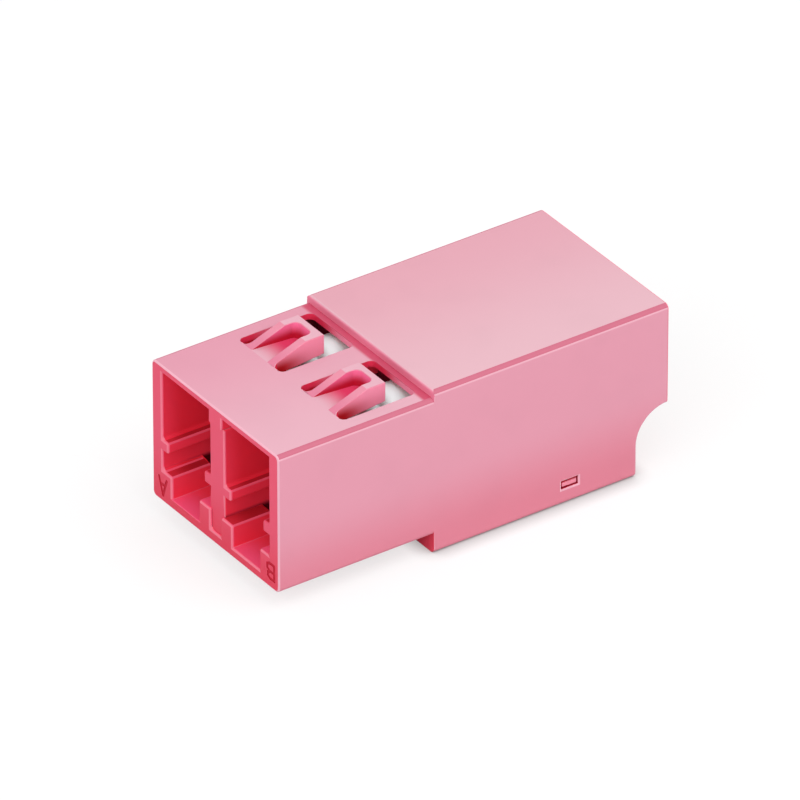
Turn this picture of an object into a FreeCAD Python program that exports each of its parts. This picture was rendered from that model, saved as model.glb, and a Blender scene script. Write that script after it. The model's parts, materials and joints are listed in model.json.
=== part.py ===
import FreeCAD, Part
import math
import os

import Sketcher

# Duplex fibre adapter: two ports in front, two behind, with split sleeves between them.
# The adapter lies on its rear block: X is its width, Y runs from the front ports to the rear hood, Z is up.
# Every piece is drawn with the front port face at Y = 0, then placed so that the origin is the middle of
# the adapter's base.

# Driving dimensions, in millimetres
DRIVING_SIZES = {
    # outer form
    "width": 13.0,
    "length": 27.6,
    "nose_length": 10.9,
    "nose_height": 9.38,
    "block_height": 11.15,
    "stop_above": 0.5,
    "edge_round": 0.35,
    "stop_round": 0.2,
    "notch_round": 2.25,
    "notch_height": 2.15,
    # walls
    "top_wall": 0.45,
    "side_wall": 1.0,
    "floor_wall": 0.63,
    "stop_wall": 0.55,
    "port_end_wall": 0.45,
    "block_wall": 0.5,
    "cavity_round": 0.25,
    # ports
    "port_width": 4.75,
    "axis_drop": 2.35,
    "rib_drop": 4.65,
    "rib_height": 0.7,
    "rib_reach": 0.62,
    "ledge_rise": 2.13,
    "ledge_depth": 2.75,
    "channel_width": 2.8,
    "divider_recess": 0.15,
    "divider_lip": 0.8,
    "divider_groove": 0.08,
    "divider_slot": 1.12,
    "divider_slot_rise": 0.73,
    # windows and latch tongues
    "window_width": 4.45,
    "window_start": 5.25,
    "window_length": 5.2,
    "window_round": 0.38,
    "tongue_width": 2.7,
    "tongue_length": 3.65,
    "tongue_ramp": 2.35,
    "tongue_rise": 0.84,
    "tongue_end_depth": 0.44,
    "tongue_belly_run": 2.4,
    "tongue_belly_depth": 0.53,
    "tongue_rib": 0.57,
    "tongue_bridge": 0.5,
    "tongue_pocket_round": 0.2,
    "tongue_pocket_drop": 0.22,
    "hinge_gap": 0.02,
    # rear insert and its snap lugs
    "fit_gap": 0.05,
    "lug_window_start": 19.97,
    "lug_window_length": 1.23,
    "lug_window_bottom": 1.05,
    "lug_window_height": 0.6,
    "lug_gap": 0.06,
    "lug_reach": 0.42,
    "lug_ramp": 0.5,
    # sleeve holders and sleeves
    "plate_thickness": 1.2,
    "hub_radius": 2.08,
    "hub_reach": 3.45,
    "hub_round": 0.6,
    "barrel_radius": 1.4,
    "barrel_reach": 4.7,
    "barrel_bevel": 0.2,
    "mouth_radius": 0.7,
    "mouth_lead": 0.3,
    "sleeve_outer": 0.8,
    "sleeve_inner": 0.625,
    "sleeve_length": 6.8,
    "sleeve_slit": 0.3,
    "sleeve_bevel": 0.08,
    "sleeve_gap": 0.03,
}

# Places worked out from the driving dimensions
HALF_WIDTH = "dims.width / 2"
NOSE_TOP = "(dims.block_height - dims.stop_above)"
NOSE_BOTTOM = f"({NOSE_TOP} - dims.nose_height)"
SHOULDER = "(dims.nose_length + dims.stop_wall)"
PORT_END = f"({SHOULDER} - dims.port_end_wall)"
MIDDLE = f"({SHOULDER} + dims.plate_thickness)"
CAVITY_SIDE = "(dims.width / 2 - dims.block_wall)"
CAVITY_TOP = "(dims.block_height - dims.block_wall)"
INSERT_SIDE = f"({CAVITY_SIDE} - dims.fit_gap)"
INSERT_BOTTOM = "(dims.block_wall + dims.fit_gap)"
INSERT_TOP = f"({CAVITY_TOP} - dims.fit_gap)"
PORT_AXIS = "(dims.width / 2 - dims.side_wall - dims.port_width / 2)"
DIVIDER_HALF = f"({PORT_AXIS} - dims.port_width / 2)"
PORT_TOP = f"({NOSE_TOP} - dims.top_wall)"
AXIS_HEIGHT = f"({PORT_TOP} - dims.axis_drop)"
RIB_TOP = f"({PORT_TOP} - dims.rib_drop)"
RIB_BOTTOM = f"({RIB_TOP} - dims.rib_height)"
LIP_BOTTOM = f"({PORT_TOP} - dims.divider_lip)"
LEDGE_TOP = f"({NOSE_BOTTOM} + dims.ledge_rise)"
CHANNEL_FLOOR = f"({NOSE_BOTTOM} + dims.floor_wall)"
DIVIDER_SLOT_FLOOR = f"({NOSE_BOTTOM} + dims.divider_slot_rise)"
HINGE_RADIUS = "(dims.top_wall / 2)"
HINGE_HEIGHT = f"({NOSE_TOP} - dims.top_wall / 2)"
TONGUE_END = "(dims.window_start + dims.tongue_length)"
FRONT = "(-dims.length / 2)"
SIDES = {"left": -1, "right": 1}

doc = FreeCAD.newDocument("fibre_adapter")
sheet = doc.addObject("Spreadsheet::Sheet", "dims")
for row, (alias, size) in enumerate(DRIVING_SIZES.items(), start=1):
    sheet.set(f"A{row}", alias)
    sheet.set(f"B{row}", str(size))
    sheet.setAlias(f"B{row}", alias)
doc.recompute()


def number(expression):
    return float(sheet.evalExpression(expression))


def port_axis(side):
    return f"({side} * {PORT_AXIS})"


# Sketches


def new_sketch(body, name, plane, across="0", up="0", out="0"):
    """Start a sketch on one of the body's own planes, with its origin moved by three expressions."""
    sketch = body.newObject("Sketcher::SketchObject", name)
    features = body.Origin.OriginFeatures
    sketch.AttachmentSupport = [(feature, "") for feature in features if feature.Role == plane]
    sketch.MapMode = "FlatFace"
    sketch.setExpression("AttachmentOffset.Base.x", across)
    sketch.setExpression("AttachmentOffset.Base.y", up)
    sketch.setExpression("AttachmentOffset.Base.z", out)
    return sketch


def bind(sketch, kind, *elements, size):
    """Add a driving constraint whose value follows an expression."""
    index = sketch.addConstraint(Sketcher.Constraint(kind, *elements, number(size)))
    sketch.setExpression(f"Constraints[{index}]", size)


def bind_from_origin(sketch, kind, edge, end, size):
    """Hold a point at a signed distance from the sketch's origin."""
    if number(size) < 0:
        bind(sketch, kind, edge, end, -1, 1, size=f"-({size})")
    else:
        bind(sketch, kind, -1, 1, edge, end, size=size)


def draw_polygon(sketch, corners):
    """Draw a closed outline through corners that are pairs of expressions."""
    points = [FreeCAD.Vector(number(across), number(up), 0) for across, up in corners]
    first = sketch.GeometryCount
    count = len(points)
    for index in range(count):
        sketch.addGeometry(Part.LineSegment(points[index], points[(index + 1) % count]))
    for index, (across, up) in enumerate(corners):
        edge = first + index
        following = first + (index + 1) % count
        sketch.addConstraint(Sketcher.Constraint("Coincident", edge, 2, following, 1))
        bind_from_origin(sketch, "DistanceX", edge, 1, across)
        bind_from_origin(sketch, "DistanceY", edge, 1, up)


def draw_square_cut(sketch, corners):
    """Draw a closed outline of level and upright edges; a corner's third expression rounds it."""
    count = len(corners)
    points = [FreeCAD.Vector(number(corner[0]), number(corner[1]), 0) for corner in corners]
    radii = [number(corner[2]) if len(corner) > 2 else 0.0 for corner in corners]
    ways = []
    for index in range(count):
        way = points[(index + 1) % count] - points[index]
        ways.append(way.normalize())
    first = sketch.GeometryCount
    for index in range(count):
        following = (index + 1) % count
        start = points[index] + ways[index] * radii[index]
        end = points[following] - ways[index] * radii[following]
        sketch.addGeometry(Part.LineSegment(start, end))
        edge = first + index
        if abs(ways[index].x) < abs(ways[index].y):
            sketch.addConstraint(Sketcher.Constraint("Vertical", edge))
            bind_from_origin(sketch, "DistanceX", edge, 1, corners[index][0])
        else:
            sketch.addConstraint(Sketcher.Constraint("Horizontal", edge))
            bind_from_origin(sketch, "DistanceY", edge, 1, corners[index][1])
    for index in range(count):
        before = first + (index - 1) % count
        after = first + index
        if radii[index] == 0:
            sketch.addConstraint(Sketcher.Constraint("Coincident", before, 2, after, 1))
        else:
            round_corner(sketch, points[index], ways[index - 1], ways[index], before, after, corners[index][2])


def round_corner(sketch, corner, way_in, way_out, before, after, radius):
    """Join two edges by an arc that is tangent to both."""
    size = number(radius)
    centre = corner - way_in * size + way_out * size
    turns_left = way_in.cross(way_out).z > 0
    start = corner - way_in * size if turns_left else corner + way_out * size
    end = corner + way_out * size if turns_left else corner - way_in * size
    angles = [math.atan2(point.y - centre.y, point.x - centre.x) for point in (start, end)]
    circle = Part.Circle(centre, FreeCAD.Vector(0, 0, 1), size)
    arc = sketch.addGeometry(Part.ArcOfCircle(circle, *angles))
    sketch.addConstraint(Sketcher.Constraint("Tangent", before, 2, arc, 1 if turns_left else 2))
    sketch.addConstraint(Sketcher.Constraint("Tangent", after, 1, arc, 2 if turns_left else 1))
    bind(sketch, "Radius", arc, size=radius)


def draw_rectangle(sketch, low, high, radius=None):
    """Draw a rectangle between two corners, rounded where a radius is given."""
    corners = [(low[0], low[1]), (high[0], low[1]), (high[0], high[1]), (low[0], high[1])]
    if radius is not None:
        corners = [(*corner, radius) for corner in corners]
    draw_square_cut(sketch, corners)


def draw_circle(sketch, radius):
    """Draw a circle about the sketch's origin."""
    circle = Part.Circle(FreeCAD.Vector(0, 0, 0), FreeCAD.Vector(0, 0, 1), number(radius))
    edge = sketch.addGeometry(circle)
    sketch.addConstraint(Sketcher.Constraint("Coincident", edge, 3, -1, 1))
    bind(sketch, "Radius", edge, size=radius)


# Features


def new_body(label):
    body = doc.addObject("PartDesign::Body", label)
    body.Label = label
    return body


def place(body, across="0", along=FRONT, up="0", turned=False):
    """Put a body at its place in the adapter, turned end for end if asked."""
    if turned:
        body.Placement.Rotation = FreeCAD.Rotation(FreeCAD.Vector(0, 0, 1), 180)
    body.setExpression("Placement.Base.x", across)
    body.setExpression("Placement.Base.y", along)
    body.setExpression("Placement.Base.z", up)


def extrude(kind, body, name, sketch, size, reverse=False, both_ways=False):
    """Pad or pocket a sketch, and see that it changed the solid the right way."""
    before = 0.0 if body.Tip is None or body.Shape.isNull() else body.Shape.Volume
    feature = body.newObject(f"PartDesign::{kind}", name)
    feature.Profile = sketch
    feature.setExpression("Length", size)
    feature.Reversed = reverse
    if both_ways:
        feature.SideType = "Symmetric"
    settle(body, feature, before, adds=kind == "Pad")
    return feature


def turn(kind, body, name, sketch, angle="360"):
    """Revolve or groove a sketch about its own upright axis."""
    before = 0.0 if body.Tip is None or body.Shape.isNull() else body.Shape.Volume
    feature = body.newObject(f"PartDesign::{kind}", name)
    feature.Profile = sketch
    feature.ReferenceAxis = (sketch, ["V_Axis"])
    feature.setExpression("Angle", angle)
    settle(body, feature, before, adds=kind == "Revolution")
    return feature


def settle(body, feature, before, adds):
    body.Tip = feature
    doc.recompute()
    change = body.Shape.Volume - before
    if (change > 0) != adds or change == 0:
        raise RuntimeError(f"{feature.Label} changed the volume by {change:.4f}")


def cut_ports(body):
    """Cut both ports, from the face at Y = 0 to an end wall with holes for the sleeve holder's hubs."""
    mouth = new_sketch(body, "port_mouths", "XZ_Plane")
    bore = new_sketch(body, "port_bores", "XZ_Plane", out="-dims.ledge_depth")
    for side in SIDES.values():
        axis = port_axis(side)
        wall = f"{side} * dims.port_width / 2"
        rib = f"{side} * (dims.port_width / 2 - dims.rib_reach)"
        groove = f"{side} * (dims.port_width / 2 + dims.divider_groove)"
        ledge = f"{side} * dims.channel_width / 2"
        guides = [
            (f"{axis} - {wall}", RIB_BOTTOM),
            (f"{axis} - {rib}", RIB_BOTTOM),
            (f"{axis} - {rib}", RIB_TOP),
            (f"{axis} - {wall}", RIB_TOP),
            (f"{axis} - {wall}", LIP_BOTTOM),
            (f"{axis} - {groove}", LIP_BOTTOM),
            (f"{axis} - {groove}", PORT_TOP),
            (f"{axis} + {wall}", PORT_TOP),
            (f"{axis} + {wall}", RIB_TOP),
            (f"{axis} + {rib}", RIB_TOP),
            (f"{axis} + {rib}", RIB_BOTTOM),
            (f"{axis} + {wall}", RIB_BOTTOM),
        ]
        channel = [
            (f"{axis} + {wall}", LEDGE_TOP),
            (f"{axis} + {ledge}", LEDGE_TOP),
            (f"{axis} + {ledge}", CHANNEL_FLOOR),
            (f"{axis} - {ledge}", CHANNEL_FLOOR),
            (f"{axis} - {ledge}", LEDGE_TOP),
            (f"{axis} - {wall}", LEDGE_TOP),
        ]
        latch_room = [
            (f"{axis} + {wall}", CHANNEL_FLOOR),
            (f"{axis} - {wall}", CHANNEL_FLOOR),
        ]
        draw_square_cut(mouth, guides + channel)
        draw_square_cut(bore, guides + latch_room)
    extrude("Pocket", body, "port_mouth_cut", mouth, "dims.ledge_depth")
    extrude("Pocket", body, "port_bore_cut", bore, f"{PORT_END} - dims.ledge_depth")
    for name, side in SIDES.items():
        hole = new_sketch(body, f"hub_hole_{name}", "XZ_Plane", port_axis(side), AXIS_HEIGHT, f"-{PORT_END}")
        draw_circle(hole, "dims.hub_radius + dims.fit_gap")
        extrude("Pocket", body, f"hub_hole_cut_{name}", hole, "dims.port_end_wall")


def recess_divider(body):
    """Set the wall between the ports and its ribs back from the face, down into a slot in the lower frame."""
    sketch = new_sketch(body, "divider_face", "XZ_Plane")
    slot = "(dims.divider_slot / 2)"
    rib = f"({DIVIDER_HALF} + dims.rib_reach)"
    right_half = [
        (slot, DIVIDER_SLOT_FLOOR),
        (slot, LEDGE_TOP),
        (DIVIDER_HALF, LEDGE_TOP),
        (DIVIDER_HALF, RIB_BOTTOM),
        (rib, RIB_BOTTOM),
        (rib, RIB_TOP),
        (DIVIDER_HALF, RIB_TOP),
        (DIVIDER_HALF, LIP_BOTTOM),
    ]
    left_half = [(f"-{across}", up) for across, up in reversed(right_half)]
    draw_square_cut(sketch, right_half + left_half)
    extrude("Pocket", body, "divider_recess_cut", sketch, "dims.divider_recess")


# Pieces


def make_housing():
    body = new_body("housing")
    nose = new_sketch(body, "nose_section", "XZ_Plane")
    draw_rectangle(nose, (f"-{HALF_WIDTH}", NOSE_BOTTOM), (HALF_WIDTH, NOSE_TOP), "dims.edge_round")
    extrude("Pad", body, "nose", nose, "dims.nose_length", reverse=True)
    block = new_sketch(body, "block_section", "XZ_Plane", out="-dims.nose_length")
    draw_rectangle(block, (f"-{HALF_WIDTH}", "0"), (HALF_WIDTH, "dims.block_height"), "dims.edge_round")
    extrude("Pad", body, "block", block, "dims.length - dims.nose_length", reverse=True)
    round_stop_edge(body)
    cut_finger_notch(body)
    cavity = new_sketch(body, "cavity_section", "XZ_Plane", out=f"-{SHOULDER}")
    low = (f"-{CAVITY_SIDE}", "dims.block_wall")
    draw_rectangle(cavity, low, (CAVITY_SIDE, CAVITY_TOP), "dims.cavity_round")
    extrude("Pocket", body, "rear_cavity", cavity, f"dims.length - {SHOULDER}")
    cut_ports(body)
    recess_divider(body)
    cut_tongue_windows(body)
    cut_lug_windows(body)
    place(body)
    return body


def round_stop_edge(body):
    """Round the upper front edge of the block, across the whole width."""
    sketch = new_sketch(body, "stop_edge", "YZ_Plane", across="dims.nose_length", up="dims.block_height")
    radius = number("dims.stop_round")
    corner = FreeCAD.Vector(0, 0, 0)
    level = sketch.addGeometry(Part.LineSegment(FreeCAD.Vector(radius, 0, 0), corner))
    upright = sketch.addGeometry(Part.LineSegment(corner, FreeCAD.Vector(0, -radius, 0)))
    circle = Part.Circle(FreeCAD.Vector(radius, -radius, 0), FreeCAD.Vector(0, 0, 1), radius)
    arc = sketch.addGeometry(Part.ArcOfCircle(circle, math.pi / 2, math.pi))
    sketch.addConstraint(Sketcher.Constraint("Coincident", level, 2, -1, 1))
    sketch.addConstraint(Sketcher.Constraint("Coincident", upright, 1, -1, 1))
    sketch.addConstraint(Sketcher.Constraint("Tangent", level, 1, arc, 1))
    sketch.addConstraint(Sketcher.Constraint("Tangent", upright, 2, arc, 2))
    sketch.addConstraint(Sketcher.Constraint("Horizontal", level))
    sketch.addConstraint(Sketcher.Constraint("Vertical", upright))
    bind(sketch, "Radius", arc, size="dims.stop_round")
    extrude("Pocket", body, "stop_edge_cut", sketch, "2 * dims.width", both_ways=True)


def cut_finger_notch(body):
    """Cut the hood's lower rear corner away in a quarter round, to reach the plugs' latches."""
    sketch = new_sketch(body, "notch_outline", "YZ_Plane", across="dims.length", up="dims.notch_height")
    corners = [
        ("-dims.notch_round", "-2 * dims.notch_height"),
        ("dims.notch_round", "-2 * dims.notch_height"),
        ("dims.notch_round", "dims.notch_round"),
        ("-dims.notch_round", "dims.notch_round", "dims.notch_round"),
    ]
    draw_square_cut(sketch, corners)
    extrude("Pocket", body, "finger_notch", sketch, "2 * dims.width", both_ways=True)


def cut_tongue_windows(body):
    """Cut a window round each latch tongue, with a round seat for its root."""
    sketch = new_sketch(body, "window_outlines", "XY_Plane", out=NOSE_TOP)
    for side in SIDES.values():
        axis = port_axis(side)
        low = (f"{axis} - dims.window_width / 2", "dims.window_start")
        high = (f"{axis} + dims.window_width / 2", "dims.window_start + dims.window_length")
        draw_rectangle(sketch, low, high, "dims.window_round")
    extrude("Pocket", body, "window_cut", sketch, "2 * dims.top_wall")
    for name, side in SIDES.items():
        seat = new_sketch(
            body, f"root_seat_{name}", "YZ_Plane", "dims.window_start", HINGE_HEIGHT, port_axis(side)
        )
        draw_circle(seat, f"{HINGE_RADIUS} + dims.hinge_gap")
        width = "dims.tongue_width + 2 * dims.hinge_gap"
        extrude("Pocket", body, f"root_seat_cut_{name}", seat, width, both_ways=True)


def cut_lug_windows(body):
    """Cut the small side windows that the rear insert snaps into."""
    sketch = new_sketch(body, "lug_windows", "YZ_Plane")
    low = ("dims.lug_window_start", "dims.lug_window_bottom")
    far = "dims.lug_window_start + dims.lug_window_length"
    draw_rectangle(sketch, low, (far, "dims.lug_window_bottom + dims.lug_window_height"))
    extrude("Pocket", body, "lug_window_cut", sketch, "2 * dims.width", both_ways=True)


def make_tongue(name, side):
    """A ramped latch tongue with a pocket between two ribs, turning on its round root."""
    body = new_body(f"latch_tongue_{name}")
    outline = new_sketch(body, "tongue_outline", "YZ_Plane")
    ridge = f"{NOSE_TOP} + dims.tongue_rise"
    corners = [
        ("dims.window_start", NOSE_TOP),
        ("dims.window_start", PORT_TOP),
        ("dims.window_start + dims.tongue_belly_run", f"{NOSE_TOP} - dims.tongue_belly_depth"),
        (TONGUE_END, f"{NOSE_TOP} - dims.tongue_end_depth"),
        (TONGUE_END, ridge),
        ("dims.window_start + dims.tongue_ramp", ridge),
    ]
    draw_polygon(outline, corners)
    extrude("Pad", body, "tongue", outline, "dims.tongue_width", both_ways=True)
    root = new_sketch(body, "root_circle", "YZ_Plane", "dims.window_start", HINGE_HEIGHT)
    draw_circle(root, HINGE_RADIUS)
    extrude("Pad", body, "root", root, "dims.tongue_width", both_ways=True)
    pocket = new_sketch(body, "pocket_outline", "XY_Plane", up="dims.window_start", out=NOSE_TOP)
    half_pocket = "(dims.tongue_width / 2 - dims.tongue_rib)"
    rear = "(dims.tongue_length - dims.tongue_bridge)"
    slope = f"atan(dims.tongue_pocket_drop / {rear})"
    pocket.AttachmentOffset.Rotation = FreeCAD.Rotation(FreeCAD.Vector(-1, 0, 0), number(slope))
    pocket.setExpression("AttachmentOffset.Rotation.Angle", slope)
    pocket_corners = [
        (f"-{half_pocket}", "-dims.tongue_length"),
        (half_pocket, "-dims.tongue_length"),
        (half_pocket, rear, "dims.tongue_pocket_round"),
        (f"-{half_pocket}", rear, "dims.tongue_pocket_round"),
    ]
    draw_square_cut(pocket, pocket_corners)
    extrude("Pocket", body, "pocket", pocket, "2 * dims.tongue_rise", reverse=True)
    place(body, across=port_axis(side))
    return body


def make_sleeve_holder(name, turned):
    """A plate with two stepped barrels, drawn from the optical mid-plane towards the front."""
    body = new_body(f"sleeve_holder_{name}")
    plate = new_sketch(body, "plate_section", "XZ_Plane")
    draw_rectangle(plate, (f"-{INSERT_SIDE}", INSERT_BOTTOM), (INSERT_SIDE, INSERT_TOP), "dims.cavity_round")
    extrude("Pad", body, "plate", plate, "dims.plate_thickness")
    for label, side in SIDES.items():
        axis = port_axis(side)
        hub = new_sketch(body, f"hub_{label}_profile", "XY_Plane", axis, "0", AXIS_HEIGHT)
        hub_corners = [
            ("0", "-dims.hub_reach"),
            ("dims.hub_radius", "-dims.hub_reach", "dims.hub_round"),
            ("dims.hub_radius", "-dims.plate_thickness / 2"),
            ("0", "-dims.plate_thickness / 2"),
        ]
        draw_square_cut(hub, hub_corners)
        turn("Revolution", body, f"hub_{label}", hub)
        barrel = new_sketch(body, f"barrel_{label}_profile", "XY_Plane", axis, "0", AXIS_HEIGHT)
        barrel_corners = [
            ("0", "-dims.barrel_reach"),
            ("dims.barrel_radius - dims.barrel_bevel", "-dims.barrel_reach"),
            ("dims.barrel_radius", "-dims.barrel_reach + dims.barrel_bevel"),
            ("dims.barrel_radius", "-dims.plate_thickness / 2"),
            ("0", "-dims.plate_thickness / 2"),
        ]
        draw_polygon(barrel, barrel_corners)
        turn("Revolution", body, f"barrel_{label}", barrel)
        bore = new_sketch(body, f"bore_{label}_profile", "XY_Plane", axis, "0", AXIS_HEIGHT)
        seat = "dims.sleeve_outer + dims.sleeve_gap"
        seat_end = "-(dims.sleeve_length / 2 + dims.sleeve_gap)"
        bore_corners = [
            ("0", "-dims.barrel_reach"),
            ("dims.mouth_radius + dims.mouth_lead", "-dims.barrel_reach"),
            ("dims.mouth_radius", seat_end),
            (seat, seat_end),
            (seat, "0"),
            ("0", "0"),
        ]
        draw_polygon(bore, bore_corners)
        turn("Groove", body, f"bore_{label}", bore)
    place(body, along=f"{MIDDLE} + {FRONT}", turned=turned)
    return body


def make_split_sleeve(name, side):
    """A thin tube with bevelled ends and one slit along it."""
    body = new_body(f"split_sleeve_{name}")
    wall = new_sketch(body, "wall_section", "XY_Plane")
    half = "dims.sleeve_length / 2"
    corners = [
        ("dims.sleeve_inner", f"-({half} - dims.sleeve_bevel)"),
        ("dims.sleeve_inner + dims.sleeve_bevel", f"-({half})"),
        ("dims.sleeve_outer", f"-({half})"),
        ("dims.sleeve_outer", half),
        ("dims.sleeve_inner + dims.sleeve_bevel", half),
        ("dims.sleeve_inner", f"{half} - dims.sleeve_bevel"),
    ]
    draw_polygon(wall, corners)
    turn("Revolution", body, "tube", wall)
    slit = new_sketch(body, "slit_section", "XZ_Plane")
    draw_rectangle(slit, ("-dims.sleeve_slit / 2", "0"), ("dims.sleeve_slit / 2", "2 * dims.sleeve_outer"))
    extrude("Pocket", body, "slit", slit, "2 * dims.sleeve_length", both_ways=True)
    place(body, port_axis(side), f"{MIDDLE} + {FRONT}", AXIS_HEIGHT)
    return body


def make_rear_insert():
    """The inner moulding with the rear ports, drawn mouth first and turned to face the hood."""
    body = new_body("rear_insert")
    section = new_sketch(body, "insert_section", "XZ_Plane")
    low = (f"-{INSERT_SIDE}", INSERT_BOTTOM)
    draw_rectangle(section, low, (INSERT_SIDE, INSERT_TOP), "dims.cavity_round")
    extrude("Pad", body, "insert", section, SHOULDER, reverse=True)
    cut_ports(body)
    recess_divider(body)
    add_snap_lugs(body)
    place(body, along=f"2 * {MIDDLE} + {FRONT}", turned=True)
    return body


def add_snap_lugs(body):
    """Add the ramped lugs that snap into the housing's side windows."""
    bottom = "dims.lug_window_bottom + dims.lug_gap"
    sketch = new_sketch(body, "lug_outlines", "XY_Plane", out=bottom)
    far = f"2 * {MIDDLE} - dims.lug_window_start - dims.lug_gap"
    near = f"2 * {MIDDLE} - dims.lug_window_start - dims.lug_window_length + dims.lug_gap"
    root = f"({INSERT_SIDE} - dims.fit_gap)"
    crest = f"({INSERT_SIDE} + dims.lug_reach)"
    for side in SIDES.values():
        corners = [
            (f"{side} * {root}", near),
            (f"{side} * {crest}", near),
            (f"{side} * {crest}", f"{far} - dims.lug_ramp"),
            (f"{side} * {INSERT_SIDE}", far),
            (f"{side} * {root}", far),
        ]
        draw_polygon(sketch, corners)
    extrude("Pad", body, "snap_lugs", sketch, "dims.lug_window_height - 2 * dims.lug_gap")


def check_document(bodies):
    doc.recompute()
    for entry in doc.Objects:
        if "Invalid" in entry.State or "Error" in entry.State:
            raise RuntimeError(f"{entry.Label} did not build: {entry.State}")
    for body in bodies:
        shape = body.Shape
        if shape.isNull() or not shape.isValid() or len(shape.Solids) != 1:
            raise RuntimeError(f"{body.Label} is not one sound solid")


def main():
    bodies = [make_housing(), make_rear_insert()]
    bodies.append(make_sleeve_holder("front", turned=False))
    bodies.append(make_sleeve_holder("rear", turned=True))
    for name, side in SIDES.items():
        bodies.append(make_split_sleeve(name, side))
        bodies.append(make_tongue(name, side))
    check_document(bodies)
    os.makedirs("parts", exist_ok=True)
    for body in bodies:
        body.Shape.exportStep(f"parts/{body.Label}.step")
        box = body.Shape.BoundBox
        print(
            f"{body.Label}: {box.XLength:.2f} x {box.YLength:.2f} x {box.ZLength:.2f} mm, "
            f"{body.Shape.Volume:.2f} mm3"
        )


main()
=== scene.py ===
import json
import math

import bmesh
import bpy
from mathutils import Matrix, Vector


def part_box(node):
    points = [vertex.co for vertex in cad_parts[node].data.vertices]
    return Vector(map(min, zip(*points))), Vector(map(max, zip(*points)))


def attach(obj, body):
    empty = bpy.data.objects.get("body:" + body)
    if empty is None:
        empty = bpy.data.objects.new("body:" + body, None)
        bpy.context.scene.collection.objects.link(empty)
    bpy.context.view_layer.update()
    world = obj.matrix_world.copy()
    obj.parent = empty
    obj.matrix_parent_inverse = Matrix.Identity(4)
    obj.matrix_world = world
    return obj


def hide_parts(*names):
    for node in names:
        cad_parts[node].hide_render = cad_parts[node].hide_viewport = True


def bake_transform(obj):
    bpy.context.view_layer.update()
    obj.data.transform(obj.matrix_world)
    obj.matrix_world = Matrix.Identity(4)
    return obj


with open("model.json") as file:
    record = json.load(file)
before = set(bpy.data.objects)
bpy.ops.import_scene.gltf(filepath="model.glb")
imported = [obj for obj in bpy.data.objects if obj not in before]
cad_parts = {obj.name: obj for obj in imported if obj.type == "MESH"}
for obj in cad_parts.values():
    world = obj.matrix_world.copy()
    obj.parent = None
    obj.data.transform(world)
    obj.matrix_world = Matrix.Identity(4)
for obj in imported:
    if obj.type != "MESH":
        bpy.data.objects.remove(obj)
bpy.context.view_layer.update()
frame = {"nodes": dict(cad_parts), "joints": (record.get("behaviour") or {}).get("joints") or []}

# Duplex fibre adapter in pink moulded plastic, lying on its rear block.
# Lengths that describe the object are in millimetres; Blender works in metres.

MM = 0.001

# Levels of the object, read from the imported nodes
HOUSING_LOW, HOUSING_HIGH = (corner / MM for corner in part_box("housing"))
INSERT_LOW, INSERT_HIGH = (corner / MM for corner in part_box("rear_insert"))
TONGUE_LOW, TONGUE_HIGH = (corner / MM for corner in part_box("latch_tongue_right"))
FRONT_FACE = HOUSING_LOW.y
REAR_FACE = HOUSING_HIGH.y
INSERT_FACE = INSERT_HIGH.y
SIDE_FACE = HOUSING_HIGH.x
BLOCK_TOP = HOUSING_HIGH.z
RIDGE = TONGUE_HIGH.z
TONGUE_HALF = (TONGUE_HIGH.x - TONGUE_LOW.x) / 2
HOLDER_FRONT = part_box("sleeve_holder_front")[0].y / MM
ROOTS = {joint["child"]: Vector(joint["pos_m"]) / MM for joint in frame["joints"]}
ROOT_LINE = ROOTS["right_tongue"].y

# Levels that follow from the adapter's known steps
NOSE_TOP = BLOCK_TOP - 0.5
NOSE_BOTTOM = NOSE_TOP - 9.38
LOW_EDGE = NOSE_BOTTOM + 1
STOP_FACE = FRONT_FACE + 10.9
STOP_REACH = 0.3
NOTCH_START = REAR_FACE - 3
INSERT_SIDE = SIDE_FACE - 0.55
TOP_WALL = 0.45
PORT_TOP = NOSE_TOP - TOP_WALL
LINTEL_END = FRONT_FACE + 1
LIP_BOTTOM = PORT_TOP - 0.8
RIB_TOP = PORT_TOP - 4.65
RIB_BOTTOM = RIB_TOP - 0.7
LEDGE_TOP = NOSE_BOTTOM + 2.13
LEDGE_END = 2.75
SLOT_FLOOR = NOSE_BOTTOM + 0.73
CHANNEL_FLOOR = NOSE_BOTTOM + 0.63
PORT_AXIS = 3.125
PORT_HALF = 2.375
INNER_HALF = PORT_HALF - 0.2
BARREL_AXIS = PORT_TOP - 2.35
DIVIDER_RECESS = 0.15
LEVEL = 0.02

# Latch tongues: the seat of each root in the housing, the flare at the root, the belly, the ramp and the
# pocket
ROOT_MARGIN = 0.1
ROOT_HEIGHT = 0.3
ROOT_SEAT = 0.5
SEAT_REACH = 0.3
ROOT_FLARE = 0.42
FLARE_STEPS = 6
BELLY_SLOPE = 0.095
RAMP_LENGTH = 2.35
RAMP_SLOPE = (RIDGE - NOSE_TOP) / RAMP_LENGTH
POCKET_HALF = 0.785
POCKET_END = ROOT_LINE + 3.22
POCKET_DRAFT = 0.08
POCKET_SLOPE = 0.07
POCKET_ROUND = 0.2
POCKET_WIDENING = 2

# Snap windows low on the sides, and the lugs that show in them
SNAP_START = FRONT_FACE + 19.97
SNAP_END = SNAP_START + 1.23
SNAP_BOTTOM = 1.05
SNAP_TOP = 1.65
SNAP_MIDDLE = (SNAP_BOTTOM + SNAP_TOP) / 2
LUG_MIDDLE = SNAP_MIDDLE - 0.05
LUG_REACH = 0.42
LUG_GAP = 0.12
LUG_HEIGHT = 0.32

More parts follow.
